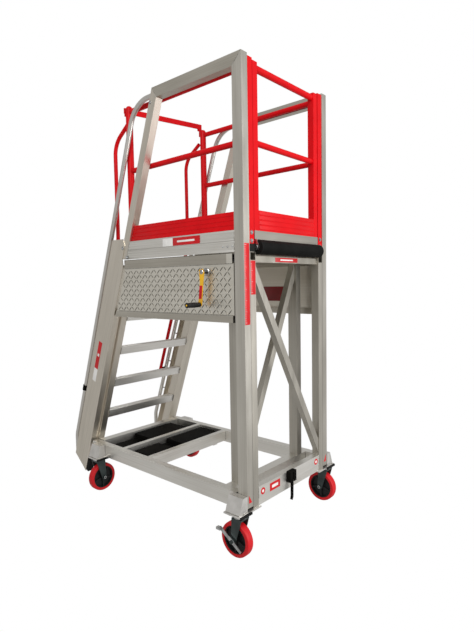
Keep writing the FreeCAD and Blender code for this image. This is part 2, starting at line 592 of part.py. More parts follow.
# ---------------------------------------------------------------- casters
def caster(tag, sx, sy, spin, brake):
    """Swivel caster, built rolling along X with the wheel trailing to -X, then turned by spin.
    brake is the side of the pedal lever: -1 near, +1 far, 0 for none."""
    shift[:] = [q(0), q(0)]
    ax, az, half = -D.trail, D.wheel_r, D.tread_w / 2
    out = [(-34, 228), (34, 228), (24, 190), (ax + 17, az - 6), (ax + 8, az - 17), (ax - 8, az - 17),
           (ax - 17, az - 6), (-36, 190)]
    fork = fused(rod("Z", 36, 13, 0, 0, 231), block(-34, 34, -36, 36, 222, 231),
                 prism("XZ", out, -36, -30, holes=[(ax, az, 6.1)]),
                 prism("XZ", out, 30, 36, holes=[(ax, az, 6.1)]))
    lo, hi = (-56 if brake < 0 else -44), (56 if brake > 0 else 44)
    axle = [rod("Y", 6, hi - lo, ax, lo, az), rod("Y", 10, 7, ax, -43, az), rod("Y", 10, 7, ax, 36, az)]
    if brake:
        axle.append(rod("Y", 10, 4.5, ax, -55.5 if brake < 0 else 51, az))
    rim_r = D.wheel_r - 21
    ring = fused(rod("Y", D.wheel_r, D.tread_w - 14, 0, 7 - half, 0),
                 rod("Y", D.wheel_r - 4, D.tread_w, 0, -half, 0))
    tyre = boolean("Cut", ring, rod("Y", rim_r, D.tread_w + 2, 0, -half - 1, 0))
    disc = boolean("Cut", rod("Y", rim_r, D.tread_w - 6, 0, 3 - half, 0),
                   fused(rod("Y", rim_r - 8, 14, 0, 2 - half, 0), rod("Y", rim_r - 8, 14, 0, half - 16, 0)))
    spokes = []
    for i in range(5):
        arm = doc.addObject("Part::Box", fresh("Spoke"))
        arm.setExpression("Length", (rim_r - 4).t)
        arm.setExpression("Width", (D.tread_w - 12).t)
        arm.Height = 12
        turn_y = ROT(V(0, 1, 0), 72 * i + 90)
        corner = turn_y.multVec(V(0, 0, -6))
        spokes.append(put(arm, corner.x, 6 - half, corner.z, turn_y))
    hub = boolean("Cut", fused(disc, rod("Y", 21, 58, 0, -29, 0), *spokes),
                  rod("Y", 6.1, 80, 0, -40, 0))
    made = [("fork_", [fork] + [fused(*axle)], False), ("tyre_", [tyre], True), ("hub_", [hub], True)]
    if brake:
        y0, y1 = (-50, -45.2) if brake < 0 else (45.2, 50)
        lever = prism("XZ", [(-92, 58), (-84, 44), (62, -46), (70, -34), (12, 10), (-80, 66)], y0, y1,
                      holes=[(0, 0, 6.3)])
        pedal = block(-100, -70, -66 if brake < 0 else 45.2, -45.2 if brake < 0 else 66, 48, 62)
        made.append(("brake_lever_", [fused(lever, pedal)], True))
    shift[:] = [D.frame_x, D.frame_y]
    rot = ROT(V(0, 0, 1), spin)
    for stem, parts, on_axle in made:
        local = rot.multVec(V(ax.v, 0, az.v)) if on_axle else V(0, 0, 0)
        top_obj = node(stem + tag, parts)
        if len(parts) == 1:
            shift_obj = doc.addObject("Part::Compound", fresh("Turned"))
            shift_obj.Links = parts
            top_obj.Label, shift_obj.Label = fresh("Inner"), stem + tag
            nodes[-1] = (stem + tag, shift_obj)
            top_obj = shift_obj
        put(top_obj, q(sx) + local.x, q(sy) + local.y, local.z, rot)


SPINS = {"nf": (0, -1), "ff": (0, 1), "nr": (-90, 0), "fr": (180, 0)}
for tag, (sx, sy) in SWIVELS.items():
    caster(tag, sx, sy, *SPINS[tag])

# ---------------------------------------------------------------- check and write
doc.recompute()
bad = [o.Name + " " + str(o.State) for o in doc.Objects if "Invalid" in o.State or "Error" in o.State]
if bad:
    raise RuntimeError("failed objects: " + "; ".join(bad))
box = FreeCAD.BoundBox()
for name, obj in nodes:
    shape = obj.Shape
    if shape.isNull() or not shape.isValid() or not shape.Solids:
        raise RuntimeError("bad shape: " + name)
    box.add(shape.BoundBox)
    shape.exportStep("parts/%s.step" % name)
print(len(nodes), "nodes; box", [round(v, 2) for v in (box.XMin, box.XMax, box.YMin, box.YMax,
                                                       box.ZMin, box.ZMax)])
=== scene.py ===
"""Looks of a wind-up mobile access platform: mill-finish aluminium frame, red powder-coated
guard rails, checker-plate side panels, rubber roller and red polyurethane casters."""
import math

import bpy
import numpy as np
from mathutils import Matrix, Vector


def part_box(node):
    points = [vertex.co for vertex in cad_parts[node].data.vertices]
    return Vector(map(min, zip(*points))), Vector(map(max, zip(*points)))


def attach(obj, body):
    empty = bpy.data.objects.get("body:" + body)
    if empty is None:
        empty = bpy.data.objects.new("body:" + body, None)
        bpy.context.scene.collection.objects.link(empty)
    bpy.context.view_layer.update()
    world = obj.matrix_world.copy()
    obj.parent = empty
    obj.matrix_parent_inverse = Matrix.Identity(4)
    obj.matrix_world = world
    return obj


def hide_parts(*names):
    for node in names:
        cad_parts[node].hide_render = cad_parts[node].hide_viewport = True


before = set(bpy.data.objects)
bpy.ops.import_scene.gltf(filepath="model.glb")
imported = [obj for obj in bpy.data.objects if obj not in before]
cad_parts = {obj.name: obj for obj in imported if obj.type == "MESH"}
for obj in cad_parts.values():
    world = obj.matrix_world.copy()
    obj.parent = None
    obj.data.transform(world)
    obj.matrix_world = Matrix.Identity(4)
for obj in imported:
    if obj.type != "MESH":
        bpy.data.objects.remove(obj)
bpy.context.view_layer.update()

MM = 0.001
SLOPE = 0.364                       # the ladder's forward lean: x gained per unit of height
TRACK = 850.0                       # outer width of the frame, mm
DECK_TOP = 1805.0
POST_X = -4                         # front faces of the red corner posts
CORNER_Y = 73                       # their centre line from the near face
GUARD_LINE = 1648                   # front edge of the guard frame's sloping leg, see lean()
PANEL_LINE = 1652                   # sloping rear edge of the side panels
STEP_TOPS = [567 + 250 * i for i in range(5)]
STEP_REAR, STEP_FRONT = 1720, 1650  # the steps' rear and front edges, as lean() lines
CRANK_X, CRANK_Z = -288, 1585
ROLLER_X, ROLLER_Z = 6, 1714
RIPPLE = 9.0                        # one ripple of a weld bead, mm
SHARP = math.radians(35)            # edges that turn by more than this stay sharp
mast_low, mast_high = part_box("masts")
ORIGIN = np.array([mast_high.x, mast_low.y, 0.0])
EX, EY, EZ = np.eye(3)


def at(x, y, z):
    """Millimetres from the near mast's outer front edge on the floor, turned to frame metres."""
    return ORIGIN + np.array([x, y, z]) * MM


def lean(line, z):
    """x at height z on a line parallel to the ladder that meets the floor at x = -line."""
    return SLOPE * z - line


# ------------------------------------------------------------------ materials
def linear(code):
    """sRGB hex to linear RGBA."""
    rgb = [int(code[i:i + 2], 16) / 255 for i in (1, 3, 5)]
    return [c / 12.92 if c <= 0.04045 else ((c + 0.055) / 1.055) ** 2.4 for c in rgb] + [1.0]


def add(mat, kind, inputs=None, **settings):
    """Adds one node. An input that is a socket is linked; any other value is set."""
    n = mat.node_tree.nodes.new(kind)
    for key, value in settings.items():
        setattr(n, key, value)
    for key, value in (inputs or {}).items():
        if isinstance(value, bpy.types.NodeSocket):
            mat.node_tree.links.new(value, n.inputs[key])
        else:
            n.inputs[key].default_value = value
    return n


def finish_of(name, **constants):
    """A material with one Principled shader whose constant values are set on its own sockets."""
    mat = bpy.data.materials.new(name)
    mat.use_nodes = True
    shader = mat.node_tree.nodes["Principled BSDF"]
    for key, value in constants.items():
        shader.inputs[key.replace("_", " ")].default_value = value
    return mat, shader


def coords(mat, scale=(1, 1, 1), turn=(0, 0, 0)):
    """Object coordinates, turned first and then stretched, so scale is in pattern units."""
    place = add(mat, "ShaderNodeTexCoord").outputs["Object"]
    if any(turn):
        place = add(mat, "ShaderNodeMapping", {"Vector": place, "Rotation": turn}).outputs[0]
    return add(mat, "ShaderNodeMapping", {"Vector": place, "Scale": scale}).outputs[0]


def ramp(mat, fac, stops):
    """Colour ramp over (position, hex) stops."""
    n = add(mat, "ShaderNodeValToRGB", {"Fac": fac})
    for element, (pos, code) in zip(n.color_ramp.elements, (stops[0], stops[-1])):
        element.position, element.color = pos, linear(code)
    for pos, code in stops[1:-1]:
        n.color_ramp.elements.new(pos).color = linear(code)
    return n.outputs["Color"]


def spread(mat, fac, low, high):
    """Maps a 0 to 1 pattern onto low to high."""
    return add(mat, "ShaderNodeMapRange", {"Value": fac, "To Min": low, "To Max": high}).outputs[0]


def mill_aluminium(name, along, dark="#B3AEA3", mid="#C3BEB3", pale="#D0CCC2", rough=0.34):
    """Extruded 6060 aluminium as it leaves the die: warm grey, satin, with long die lines along
    the extrusion and soft cloudy patches of oxide. Real die lines are under 1 mm apart, drawn
    4 mm apart so that they show. along is the (x, y, z) turn that brings the length onto X."""
    mat, shader = finish_of(name, Metallic=1.0)
    lines = add(mat, "ShaderNodeTexNoise", {
        "Vector": coords(mat, (1 / (900 * MM), 1 / (4 * MM), 1 / (4 * MM)), along), "Scale": 1.0,
        "Detail": 2.0, "Roughness": 0.6}).outputs["Fac"]
    clouds = add(mat, "ShaderNodeTexNoise", {
        "Vector": coords(mat, (1 / (420 * MM), 1 / (75 * MM), 1 / (75 * MM)), along), "Scale": 1.0,
        "Detail": 4.0, "Roughness": 0.55}).outputs["Fac"]
    total = add(mat, "ShaderNodeMath", {0: lines, 1: clouds}, operation="ADD").outputs[0]
    half = add(mat, "ShaderNodeMath", {0: total, 1: 0.5}, operation="MULTIPLY").outputs[0]
    links = mat.node_tree.links
    colour = ramp(mat, half, [(0.30, dark), (0.5, mid), (0.70, pale)])
    links.new(colour, shader.inputs["Base Color"])
    links.new(spread(mat, clouds, rough - 0.10, rough + 0.14), shader.inputs["Roughness"])
    bump = add(mat, "ShaderNodeBump", {"Height": lines, "Strength": 0.06, "Distance": 0.3 * MM})
    links.new(bump.outputs[0], shader.inputs["Normal"])
    return mat


def speckled(name, dark, pale, rough, grain, bump=0.1, metallic=0.0, depth=0.2, patch=90, **more):
    """A plain finish with a fine grain of the given size in mm and slow tone changes over it."""
    mat, shader = finish_of(name, Metallic=metallic, **more)
    fine, slow = (add(mat, "ShaderNodeTexNoise", {
        "Vector": coords(mat, (1 / (size * MM),) * 3), "Scale": 1.0, "Detail": 3.0}).outputs["Fac"]
        for size in (grain, patch))
    links = mat.node_tree.links
    links.new(ramp(mat, slow, [(0.36, dark), (0.66, pale)]), shader.inputs["Base Color"])
    links.new(spread(mat, slow, rough - 0.05, rough + 0.08), shader.inputs["Roughness"])
    height = add(mat, "ShaderNodeBump", {"Height": fine, "Strength": bump, "Distance": depth * MM})
    links.new(height.outputs[0], shader.inputs["Normal"])
    return mat


ALONG_X, ALONG_Y, ALONG_Z = (0, 0, 0), (0, 0, -math.pi / 2), (0, math.pi / 2, 0)
ALONG_LADDER = (0, math.pi / 2 - math.atan(SLOPE), 0)
alu_x = mill_aluminium("mill aluminium rail", ALONG_X)
# A paler copy of the same aluminium: painted light on the base cross members, to make them as
# bright as they look lit.
alu_y = mill_aluminium("mill aluminium beam", ALONG_Y, "#DCD9D2", "#E9E7E1", "#F2F0EC", 0.36)
alu_z = mill_aluminium("mill aluminium post", ALONG_Z, "#C2BEB5", "#D0CCC3", "#DCD9D1")
# A paler copy of the same aluminium: painted light on the side beams and base rails, whose top
# faces catch the light.
alu_beam = mill_aluminium("wide extruded beam", ALONG_X, "#DCD9D2", "#E9E7E1", "#F2F0EC", 0.36)
# Darker copies of the same aluminium: painted shade on the deck's cross beams, and on the fixed
# posts and cross braces inside the frame, which sit in the deck's shade.
alu_shaded_beam = mill_aluminium("cross beam, painted under-deck shade", ALONG_Y, "#96928A", "#A39F97", "#B1ADA5", 0.46)
alu_shaded_post = mill_aluminium("inner post, painted under-deck shade", ALONG_Z, "#AFABA2", "#BCB8AF", "#CAC5BB", 0.42)
alu_lean = mill_aluminium("mill aluminium stile", ALONG_LADDER, "#CEC8BC", "#DDD6CA", "#E8E2D7",
                          0.36)
alu_tube = mill_aluminium("drawn aluminium tube", ALONG_LADDER, "#C8C6C1", "#D8D5D0", "#E6E3DF",
                          0.30)
# Painted light: the plate is drawn paler than the bars raised on it, so their outlines show.
alu_plate = mill_aluminium("rolled aluminium plate", ALONG_X, "#DDD9CE", "#E8E4DA", "#F0EDE4", 0.36)
# The palest copy of the same aluminium: painted light on the step treads' top faces.
alu_step = mill_aluminium("step tread", ALONG_Y, "#E6E4DF", "#F0EEEA", "#F7F6F3", 0.40)
# Painted shade: the raised tread bars are the plate's own aluminium, drawn much darker so their
# outlines show against the plate.
alu_boss = mill_aluminium("raised tread bar", ALONG_X, "#68645C", "#757168", "#837F75", 0.34)
cast_bracket = speckled("welded plate bracket", "#D8D6D2", "#EDEBE8", 0.42, 2.5, 0.15, 1.0)
weld_metal = speckled("aluminium weld bead", "#8F8C86", "#C9C7C2", 0.36, 2.0, 0.2, 1.0, patch=12)
red_coat = speckled("red polyester powder coat", "#CC0510", "#D50812", 0.40, 3.0, 0.08, depth=0.15,
                    Coat_Weight=0.04, Coat_Roughness=0.3, IOR=1.22)
red_tread = speckled("cast red polyurethane", "#C00E18", "#CC141E", 0.48, 4.0, 0.10, IOR=1.38)
black_rubber = speckled("black rubber", "#0C0C0B", "#151514", 0.70, 2.5, 0.35, IOR=1.3)
roller_rubber = speckled("ground roller rubber", "#0B0B0A", "#141413", 0.58, 2.0, 0.25, IOR=1.2)
black_coat = speckled("black painted steel weight", "#0B0A09", "#141311", 0.60, 5.0, 0.12, IOR=1.10)
dark_steel = speckled("dark coated fork steel", "#333B3B", "#454E4D", 0.38, 3.0, 0.10, 0.6)
nylon_hub = speckled("moulded black nylon", "#0D0D0E", "#181819", 0.52, 1.5, 0.10, IOR=1.36)
plated = speckled("zinc plated steel", "#A9AAAB", "#D0D1D1", 0.26, 4.0, 0.08, 1.0, patch=18)
bare_steel = speckled("oiled bare steel", "#5B5B5C", "#808080", 0.35, 3.0, 0.10, 1.0)
yellow_coat = speckled("yellow enamel", "#E3A800", "#F2BC0C", 0.30, 3.0, 0.08, IOR=1.5,
                       Coat_Weight=0.4)
red_vinyl = speckled("red vinyl label", "#BE1019", "#CC1720", 0.40, 2.0, 0.03, IOR=1.38)
white_vinyl = speckled("white vinyl label", "#E4E3E0", "#F1F0EE", 0.30, 2.0, 0.03, IOR=1.5)
# A darker copy of the red vinyl: painted shade for the label on the far panel's shaded inner face.
shaded_red_vinyl = speckled("red vinyl, painted shade", "#7E1216", "#92181D", 0.34, 2.0, 0.03, IOR=1.5)

CAD_FINISH = {
    alu_x: "ring_frame panel_bottom_rails guard_rails", alu_beam: "deck_side_beams base_side_rails",
    alu_shaded_post: "fixed_posts cross_braces",
    alu_y: "base_cross_members", alu_shaded_beam: "deck_beams", alu_step: "ladder_steps",
    alu_z: "masts",
    alu_lean: "ladder_stiles outer_stiles guard_legs", alu_tube: "handrails",
    alu_plate: "side_panels deck_plate", cast_bracket: "caster_brackets",
    red_coat: "corner_posts rear_posts side_rails grab_rails rail_brackets front_guard toe_boards "
              "entry_bar",
    black_rubber: "stile_feet stop_buffers bracket_pads", roller_rubber: "front_roller",
    black_coat: "ballast_slabs hook_block hook_lever handrail_collars",
    plated: "handrail_standoffs roller_brackets frame_bolts brake_lever_nf brake_lever_ff",
    bare_steel: "drive_bearings drive_chain cross_shaft crank_shaft mast_racks",
    yellow_coat: "crank_arm", nylon_hub: "hub_nf hub_ff hub_nr hub_fr crank_grip",
    dark_steel: "fork_nf fork_ff fork_nr fork_fr", red_tread: "tyre_nf tyre_ff tyre_nr tyre_fr"}
for finish, names in CAD_FINISH.items():
    for name in names.split():
        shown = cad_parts[name]
        shown.data.materials.clear()
        shown.data.materials.append(finish)


# ------------------------------------------------------------------ shapes
def grid_faces(nu, nv):
    """Quads of a grid of nu rings of nv points, each ring closed on itself."""
    i, j = np.meshgrid(np.arange(nu - 1), np.arange(nv), indexing="ij")
    k = (j + 1) % nv
    quad = np.stack([i * nv + j, i * nv + k, (i + 1) * nv + k, (i + 1) * nv + j], -1)
    return quad.reshape(-1, 4).tolist()


def ring_about(axis, n):
    """The axis at unit length, and n unit directions square to it, evenly round it."""
    axis = np.array(axis, float) / np.linalg.norm(axis)
    side = np.cross(axis, [0.31, 0.62, 0.72])
    side /= np.linalg.norm(side)
    t = np.linspace(0, 2 * np.pi, n, endpoint=False)
    return axis, np.cos(t)[:, None] * side + np.sin(t)[:, None] * np.cross(axis, side)


def tube_of(rings):
    """Closed skin over rings of points, an array (rings, points, 3), with a cap at each end."""
    nu, nv = rings.shape[:2]
    faces = grid_faces(nu, nv)
    faces.append(list(range(nv))[::-1])
    faces.append([(nu - 1) * nv + j for j in range(nv)])
    return rings.reshape(-1, 3), faces


def rounded_slab(centre, size, edge, axes=np.eye(3)):
    """A box of the given size in mm whose edges are rounded over. Rings: a rounded rectangle in
    the first two axes, drawn in by edge at the two ends of the third axis."""
    a, b, c = np.array(size, float) / 2
    e = min(edge, a * 0.9, b * 0.9, c * 0.9)
    turn = np.linspace(0, 2 * np.pi, 12, endpoint=False) + np.pi / 12
    cx = np.sign(np.cos(turn)) * (a - e) + np.cos(turn) * e
    cy = np.sign(np.sin(turn)) * (b - e) + np.sin(turn) * e
    inset = np.stack([np.sign(np.cos(turn)) * (a - e), np.sign(np.sin(turn)) * (b - e)], -1)
    full = np.stack([cx, cy], -1)
    levels = [(-c, inset), (-c + e, full), (c - e, full), (c, inset)]
    rings = np.array([np.column_stack([flat, np.full(12, z)]) for z, flat in levels]) * MM
    return tube_of(rings @ np.array(axes, float) + np.array(centre))


def turned(profile, centre, axis, n):
    """Solid of revolution: profile rows are (radius, distance along the axis) in mm."""
    axis, ring = ring_about(axis, n)
    p = np.array(profile, float) * MM
    rings = p[:, :1, None] * ring[None] + p[:, 1, None, None] * axis + np.array(centre)
    return tube_of(rings)


def loop_turned(profile, centre, axis, n):
    """Ring-shaped solid: a closed profile of (radius, along) in mm carried round the axis."""
    axis, ring = ring_about(axis, n)
    p = np.array(profile, float) * MM
    pts = (p[None, :, :1] * ring[:, None, :]) + p[None, :, 1:] * axis + np.array(centre)
    m = len(profile)
    i, j = np.meshgrid(np.arange(n), np.arange(m), indexing="ij")
    k, l = (i + 1) % n, (j + 1) % m
    faces = np.stack([i * m + j, i * m + l, k * m + l, k * m + j], -1)
    return pts.reshape(-1, 3), faces.reshape(-1, 4).tolist()


def prism_of(outline, low, high, axis, bevel):
    """Flat outline in mm carried along an axis: the outline is drawn in by bevel at both ends."""
    pts = np.array(outline, float)
    mid = pts.mean(0)
    small = mid + (pts - mid) * (1 - bevel / np.abs(pts - mid).max())
    order = {"X": (1, 2, 0), "Y": (2, 0, 1), "Z": (0, 1, 2)}[axis]
    rings = []
    for h, flat in ((low, small), (low + bevel, pts), (high - bevel, pts), (high, small)):
        ring = np.zeros((len(pts), 3))
        ring[:, order[0]], ring[:, order[1]], ring[:, order[2]] = flat[:, 0], flat[:, 1], h
        rings.append(ring)
    return tube_of(np.array(rings) * MM + ORIGIN)


def hexagon(a, b, r):
    """Outline of a bolt head of radius r centred on (a, b)."""
    t = np.arange(6) * np.pi / 3
    return np.column_stack([a + r * np.cos(t), b + r * np.sin(t)])


def bead(start, end, r):
    """Weld bead along a straight seam: a round section whose radius swells and shrinks once in
    RIPPLE mm, r * (1 + 0.18 cos(2 pi s / RIPPLE)), tapered off at both ends."""
    a, b = np.array(start, float), np.array(end, float)
    span = np.linalg.norm(b - a)
    steps = max(int(span / (RIPPLE * MM / 4)), 6)
    s = np.linspace(0, 1, steps)
    size = r * MM * (1 + 0.18 * np.cos(2 * np.pi * s * span / (RIPPLE * MM)))
    size *= np.clip(np.minimum(s, 1 - s) * span / (2 * r * MM) + 0.25, 0, 1)
    ring = ring_about(b - a, 8)[1]
    return tube_of(a + s[:, None, None] * (b - a) + size[:, None, None] * ring)


def tread_bars(cells, origin, u, v, w, length, width, height):
    """Raised bars of checker plate. cells rows are (u, v) centres in mm and +1 or -1 for the way
    the bar slants. Each bar is a pointed lens whose ridge runs along its length, and it is sunk
    a little into the sheet."""
    s = np.linspace(0, 2 * np.pi, 10, endpoint=False)
    bulge = np.sign(np.sin(s)) * np.abs(np.sin(s)) ** 1.3
    rim = np.column_stack([np.cos(s) * length / 2, bulge * width / 2])
    top = rim * [0.72, 0.42]
    cells = np.array(cells, float)
    turn = cells[:, 2] * np.pi / 4
    c, n = np.cos(turn)[:, None], np.sin(turn)[:, None]
    levels = []
    for flat, h in ((rim, -0.3), (rim, 0.1), (top, height)):
        a = cells[:, :1] + flat[:, 0] * c - flat[:, 1] * n
        b = cells[:, 1:2] + flat[:, 0] * n + flat[:, 1] * c
        levels.append(a[..., None] * u + b[..., None] * v + h * w)
    pts = np.stack(levels, 1).reshape(len(cells), 30, 3) * MM + origin
    one = grid_faces(3, 10) + [list(range(10))[::-1], list(range(20, 30))]
    faces = [[q + 30 * i for q in f] for i in range(len(cells)) for f in one]
    return pts.reshape(-1, 3), faces


def across(shape):
    """The same shape on the far side, with its faces turned to point outwards again."""
    pts, faces = shape
    far = np.array(pts, float).copy()
    far[:, 1] = 2 * (ORIGIN[1] + TRACK / 2 * MM) - far[:, 1]
    return far, [list(f)[::-1] for f in faces]


def both(*shapes):
    """Every shape and its mirror image on the far side."""
    return [s for shape in shapes for s in (shape, across(shape))]


def piece(name, shapes, finish, body, stands_for=()):
    """Joins shapes into one object at the origin, gives it its finish and its body."""
    points, faces, base = [], [], 0
    for pts, fs in shapes:
        points.append(np.array(pts, float).reshape(-1, 3))
        faces += [[q + base for q in f] for f in fs]
        base += len(points[-1])
    mesh = bpy.data.meshes.new(name)
    mesh.from_pydata(np.concatenate(points).tolist(), [], faces)
    mesh.polygons.foreach_set("use_smooth", np.ones(len(faces), bool))
    mesh.set_sharp_from_angle(angle=SHARP)
    mesh.materials.append(finish)
    obj = bpy.data.objects.new(name, mesh)
    bpy.context.scene.collection.objects.link(obj)
    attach(obj, body)
    if stands_for:
        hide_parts(*stands_for)


def strip(x0, x1, y0, y1, z0, z1, edge):
    """A box between two corners in mm, with its edges rounded over by edge."""
    lo, hi = np.array([x0, y0, z0], float), np.array([x1, y1, z1], float)
    return rounded_slab(at(*((lo + hi) / 2)), hi - lo, edge)


# ------------------------------------------------------------------ checker plate
def plate_cells(u0, u1, v0, v1, pitch, keep):
    """Staggered rows of bars that slant alternately, kept where keep(u, v) says so."""
    out = []
    for i, u in enumerate(np.arange(u0, u1, pitch)):
        for j, v in enumerate(np.arange(v0, v1, pitch)):
            if keep(u, v):
                out.append((u, v, 1 if (i + j) % 2 else -1))
    return out


def on_panel(x, z):
    """Inside a side panel, clear of its edges and of the bushing round the crank's shaft."""
    clear = math.hypot(x - CRANK_X, z - CRANK_Z) > 32
    return lean(PANEL_LINE, z) + 16 < x < -92 and clear


def on_deck(x, y):
    """On the deck plate, clear of its edges and further in beside the rear posts."""
    return -1070 < x < -70 and (66 if x > -1008 else 114) < min(y, TRACK - y)


PANEL_BAR, DECK_BAR = (38, 6.5, 1.8), (26, 8, 1.3)      # length, width and height
cells = plate_cells(-1160, -80, 1358, 1622, 30, on_panel)
turned_cells = [(-x, z, -slant) for x, z, slant in cells]
piece("panel_tread_near", [tread_bars(cells, at(0, 6, 0), EX, EZ, -EY, *PANEL_BAR)],
      alu_boss, "chassis")
piece("panel_tread_far", [tread_bars(turned_cells, at(0, TRACK - 6, 0), -EX, EZ, EY, *PANEL_BAR)],
      alu_boss, "chassis")
deck_cells = plate_cells(-1068, -60, 74, 790, 27, on_deck)
piece("deck_tread", [tread_bars(deck_cells, at(0, 0, DECK_TOP), EX, EY, EZ, *DECK_BAR)], alu_boss,
      "platform")

# ------------------------------------------------------------------ extruded ribs
def sloping_rib(y0, y1, z, height, front, edge):
    """A rib along X from the guard frame's leg to front, centred on height z."""
    return strip(lean(GUARD_LINE, z) + 4, front, y0, y1, z - height / 2, z + height / 2, edge)


BEAM_RIBS = ((1693.5, 13), (1711, 3), (1726, 3), (1742, 8), (1753, 7), (1768, 3), (1783, 3),
             (1799, 10))                # height and width
SIDE_BOARD_RIBS, FRONT_BOARD_RIBS = (1817, 1842, 1867, 1892), (1824, 1851, 1878, 1904)
ribs = [sloping_rib(-1.4, 0.3, z, height, -67, 0.5) for z, height in BEAM_RIBS]
piece("deck_beam_ribs", both(*ribs), alu_beam, "platform")
board = [sloping_rib(y, y + 2, z, 18, -68, 0.9) for y in (12.4, 35.6) for z in SIDE_BOARD_RIBS]
front_board = [strip(-6.4, -4.4, 144, TRACK - 144, z - 10, z + 10, 0.9) for z in FRONT_BOARD_RIBS]
piece("toe_board_ribs", both(*board) + front_board, red_coat, "platform")
tread_ribs = []
for top in STEP_TOPS:
    for k in range(6):
        x = lean(STEP_REAR - 2 - 12.5 * k, top)
        tread_ribs.append(strip(x - 2.2, x + 2.2, 102, TRACK - 102, top - 0.3, top + 1.4, 0.6))
piece("step_tread_ribs", tread_ribs, alu_step, "chassis")

# ------------------------------------------------------------------ welds
chassis_welds = []
for top in STEP_TOPS:
    low = top - 55
    for y in (100.5, TRACK - 100.5):
        chassis_welds += [
            bead(at(lean(STEP_REAR, top), y, top), at(lean(STEP_FRONT, top), y, top), 2.6),
            bead(at(lean(1644, top), y, top - 2), at(lean(1644, low), y, low), 2.6)]
for z0, z1, x in ((295, 365, 0), (1632, 1668, -14)):
    for y in (100.5, TRACK - 100.5):
        chassis_welds.append(bead(at(x - 1, y, z0 + 2), at(x - 1, y, z1 - 2), 3.0))
for x in (-205, -140, -890, -930, -1170, -1210, -1455):
    chassis_welds += [bead(at(x, y, 272), at(x, y, 343), 2.8) for y in (50, TRACK - 50)]
chassis_welds += both(bead(at(-86, -0.5, 1341), at(lean(PANEL_LINE, 1341), 0.5, 1341), 1.8),
                      bead(at(-86, 0.5, 1626), at(lean(PANEL_LINE, 1626), 0.5, 1626), 1.8),
                      bead(at(lean(1650, 345), 52, 346), at(-1455, 52, 346), 2.6),
                      bead(at(-205, 101, 346), at(-205, 149, 346), 2.8),
                      bead(at(-140, 101, 346), at(-140, 149, 346), 2.8),
                      bead(at(lean(1724, 1638), 52, 1639), at(lean(1647, 1638), 52, 1639), 2.2),
                      bead(at(-103, -2, 256), at(8, -2, 257), 3.0),
                      bead(at(-103, -71, 257), at(2, -71, 257), 3.0),
                      bead(at(2, -70, 257.5), at(2, -3, 257.5), 2.6),
                      bead(at(-1467, -71, 257), at(-1362, -71, 257), 3.0))
piece("chassis_welds", chassis_welds, weld_metal, "chassis")
platform_welds = both(bead(at(-1, 0.3, 2723), at(-65, 0.3, 2659), 1.7),
                      bead(at(-719, 0.3, 2723), at(lean(GUARD_LINE, 2658), 0.3, 2659), 1.7),
                      bead(at(-66.5, 0.3, 1694), at(-66.5, 0.3, 1803), 2.0),
                      bead(at(lean(1647, 1694), 0.3, 1694), at(lean(1647, 1803), 0.3, 1803), 2.0),
                      bead(at(-735, 12, 2690), at(-735, 42, 2690), 2.2))
piece("platform_welds", platform_welds, weld_metal, "platform")

# ------------------------------------------------------------------ fasteners
# Profiles are (radius, distance along the axis) in mm, as turned() takes them.
BOLT_HEIGHTS = (1747, 1792)
WASHER = [(0.1, -4.2), (12, -4.2), (12, -2.6), (0.1, -2.6)]
WEB_BOLT = [(0.1, -9), (7, -9), (7, -5.6), (12, -5.6), (12, -4), (0.1, -4)]
LEG_BOLT = [(0.1, -5), (6, -5), (7, -1.6), (11, -1.6), (11, 0), (0.1, 0)]
RIVET = [(0.1, -2.6), (3.4, -2.2), (5.0, -0.8), (5.2, 0.4), (0.1, 0.4)]
bolts = [prism_of(hexagon(CORNER_Y, z, 9), POST_X, 2.5, "X", 1.0) for z in BOLT_HEIGHTS]
washers = [turned(WASHER, at(0, CORNER_Y, z), EX, 24) for z in BOLT_HEIGHTS]
web_bolts = [turned(WEB_BOLT, at(x, 0, z), EY, 24) for x, z in ((-1062, 1764), (-1020, 1700))]
leg_bolt = turned(LEG_BOLT, at(-739, 0, 2640), EY, 24)
piece("hex_bolts", both(*bolts, *washers, *web_bolts, leg_bolt), plated, "platform",
      stands_for=("frame_bolts",))
rivets = [turned(RIVET, at(x, -1.4, 1718), EY, 16) for x in (-150, -115, -80)]
piece("beam_rivets", both(*rivets), plated, "platform")

# ------------------------------------------------------------------ labels, all blank
ladder_dir = np.array([SLOPE, 0, 1]) / math.hypot(SLOPE, 1)
cross_dir = np.cross(EY, ladder_dir)


def leaning_label(line, z0, z1, width, y):
    """A thin patch on the near stile's outer face, along the ladder from height z0 to z1."""
    mid_z = (z0 + z1) / 2
    length = (z1 - z0) * math.hypot(SLOPE, 1)
    return rounded_slab(at(lean(line, mid_z), y, mid_z), (width, length, 0.5),
                        0.2, np.array([-cross_dir, ladder_dir, -EY]))


def label(name, shapes, finish, body):
    """A sticker: a piece with the given finish and body, as all the stickers are made."""
    piece(name, shapes, finish, body)


def roundel(radius, low, high, dome, y, n):
    """A round sticker on the front beam whose face rises by dome in the middle."""
    profile = [(0.1, low), (radius, low), (radius, high), (0.1, high + dome)]
    return turned(profile, at(0, y, 330), EX, n)


def ticks(y, z0, z1):
    """Scale marks every 12 mm, each fifth one longer."""
    return [strip(0.4, 0.9, y, y + (14 if k % 5 == 0 else 8), z - 0.8, z + 0.8, 0.1)
            for k, z in enumerate(np.arange(z0, z1, 12))]


